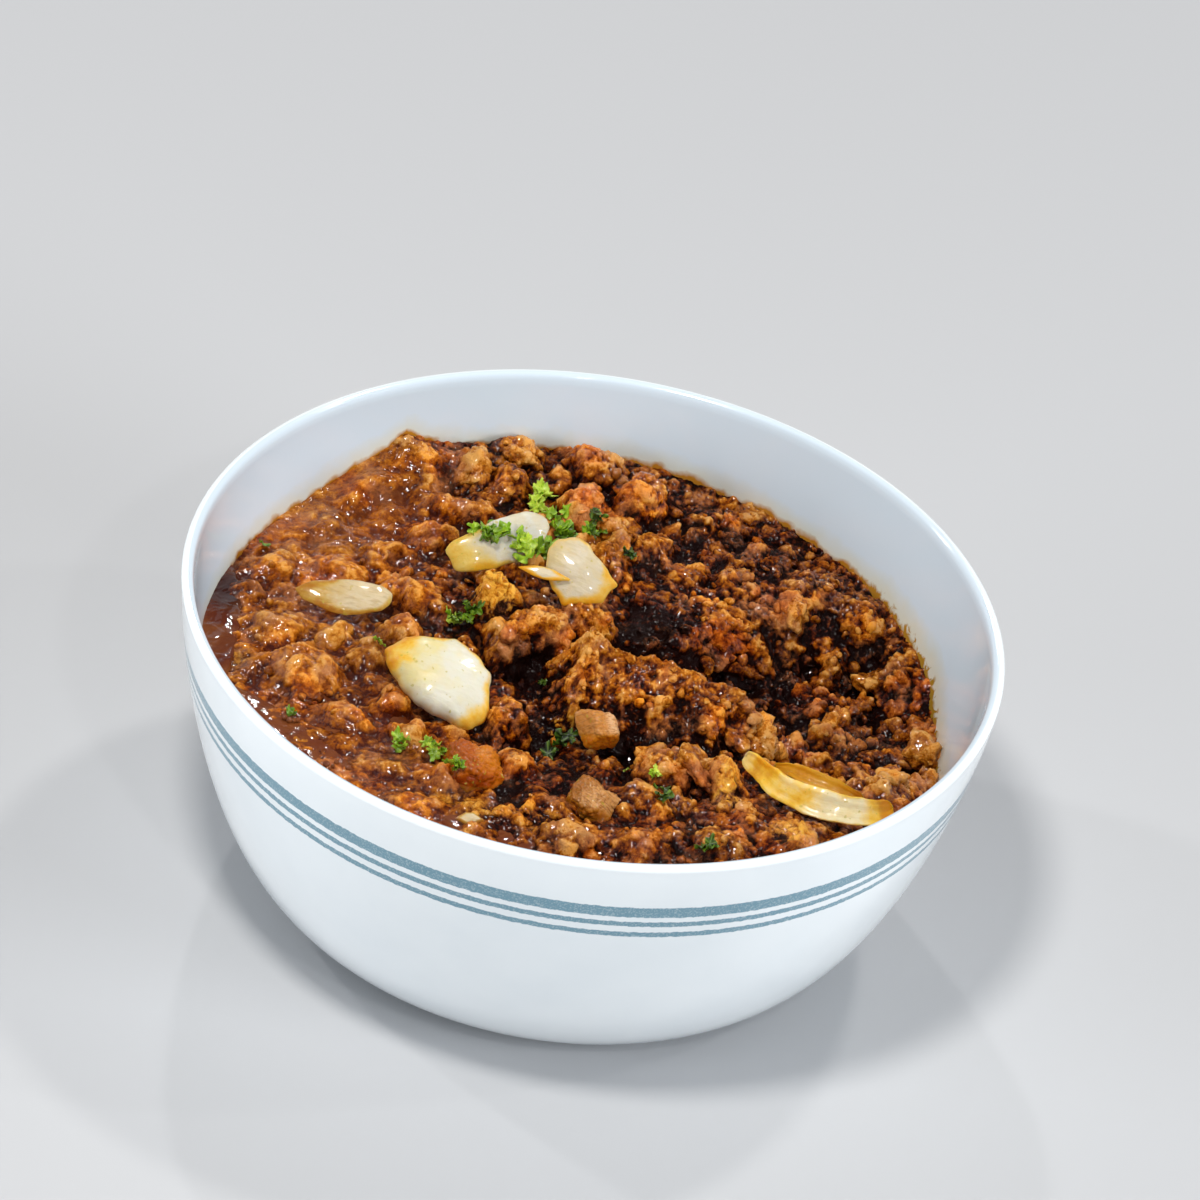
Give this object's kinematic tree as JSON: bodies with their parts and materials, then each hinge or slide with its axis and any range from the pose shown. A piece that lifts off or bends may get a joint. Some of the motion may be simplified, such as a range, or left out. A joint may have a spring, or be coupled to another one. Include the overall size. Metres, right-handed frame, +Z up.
{
  "type": "chili con carne",
  "caption": "Ground-meat chili in a deep round white bowl with fine bands, uneven top with a scooped hollow, and pieces of onion and tomato.",
  "frame": {"origin": "centre of the foot's underside, on the surface the bowl stands on", "axes": "+Z up along the bowl's axis, +X through the scooped hollow's side, +Y away from the front of the heap"},
  "size_m": [0.1588, 0.1588, 0.0645],
  "materials": {
    "bowl_glaze": "gloss",
    "chili": "satin",
    "sauce": "gloss",
    "onion": "gloss",
    "tomato": "gloss",
    "parsley": "satin"
  },
  "bodies": {
    "root": {"bowl": "bowl_glaze", "chili": "chili", "onion_chunk": "onion", "onion_curl": "onion", "onion_dice_a": "onion", "onion_dice_b": "onion", "onion_petal_a": "onion", "onion_petal_b": "onion", "onion_slice": "onion", "tomato_piece": "tomato"}
  },
  "joints": []
}
